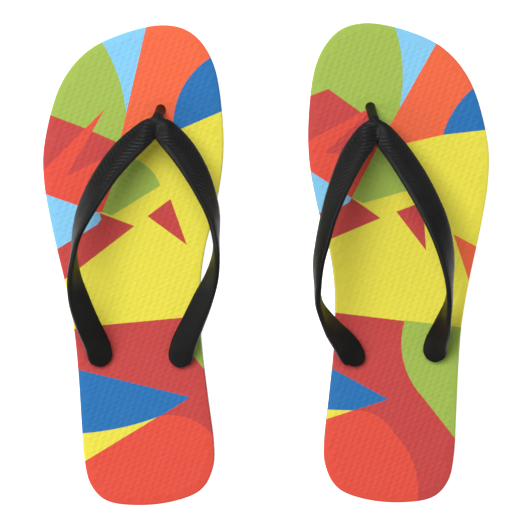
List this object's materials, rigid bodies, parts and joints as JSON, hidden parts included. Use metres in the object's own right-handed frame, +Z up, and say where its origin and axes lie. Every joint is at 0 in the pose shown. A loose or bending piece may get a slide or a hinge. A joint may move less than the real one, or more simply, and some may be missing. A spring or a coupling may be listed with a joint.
{
  "type": "pair of flip-flop sandals",
  "caption": "Pair of flat thong sandals: bonded rubber soles with a grained colour-block footbed and a treaded base, and soft black Y-shaped toe straps held by stems through the sole.",
  "frame": {"origin": "on the floor, under the centre of the pair's bounding box, midway between the two sandals", "axes": "+X towards the wearer's right, +Y from heels to toes, +Z up from the floor"},
  "size_m": [0.2512, 0.27, 0.0552],
  "materials": {
    "outsole": "black moulded rubber, satin, with zigzag tread",
    "midsole": "black foam rubber, matte",
    "footbed": "grained rubber with a printed colour-block pattern, matte",
    "strap": "soft black moulded rubber, satin",
    "washer": "hard grey plastic, matte"
  },
  "bodies": {
    "left_forefoot": {"left_forefoot_outsole": "outsole", "left_forefoot_midsole": "midsole", "left_forefoot_footbed": "footbed", "left_strap": "strap", "left_toe_washer": "washer"},
    "left_heel": {"left_heel_outsole": "outsole", "left_heel_midsole": "midsole", "left_heel_footbed": "footbed", "left_inner_washer": "washer", "left_outer_washer": "washer"},
    "right_forefoot": {"right_forefoot_outsole": "outsole", "right_forefoot_midsole": "midsole", "right_forefoot_footbed": "footbed", "right_strap": "strap", "right_toe_washer": "washer"},
    "right_heel": {"right_heel_outsole": "outsole", "right_heel_midsole": "midsole", "right_heel_footbed": "footbed", "right_inner_washer": "washer", "right_outer_washer": "washer"}
  },
  "joints": [
    {"name": "left_sole_flex", "type": "hinge", "parent": "left_forefoot", "child": "left_heel", "pos_m": [-0.074, 0.048, 0.0153], "axis": [-1, 0, 0], "range_deg": [0, 45], "stiffness_Nm_per_rad": 0.5, "deforming": ["left_strap"]},
    {"name": "right_shoe_lift", "type": "slide", "parent": "left_forefoot", "child": "right_forefoot", "axis": [0, 0, 1], "range_m": [0, 0.15]},
    {"name": "right_sole_flex", "type": "hinge", "parent": "right_forefoot", "child": "right_heel", "pos_m": [0.074, 0.048, 0.0153], "axis": [-1, 0, 0], "range_deg": [0, 45], "stiffness_Nm_per_rad": 0.5, "deforming": ["right_strap"]}
  ]
}
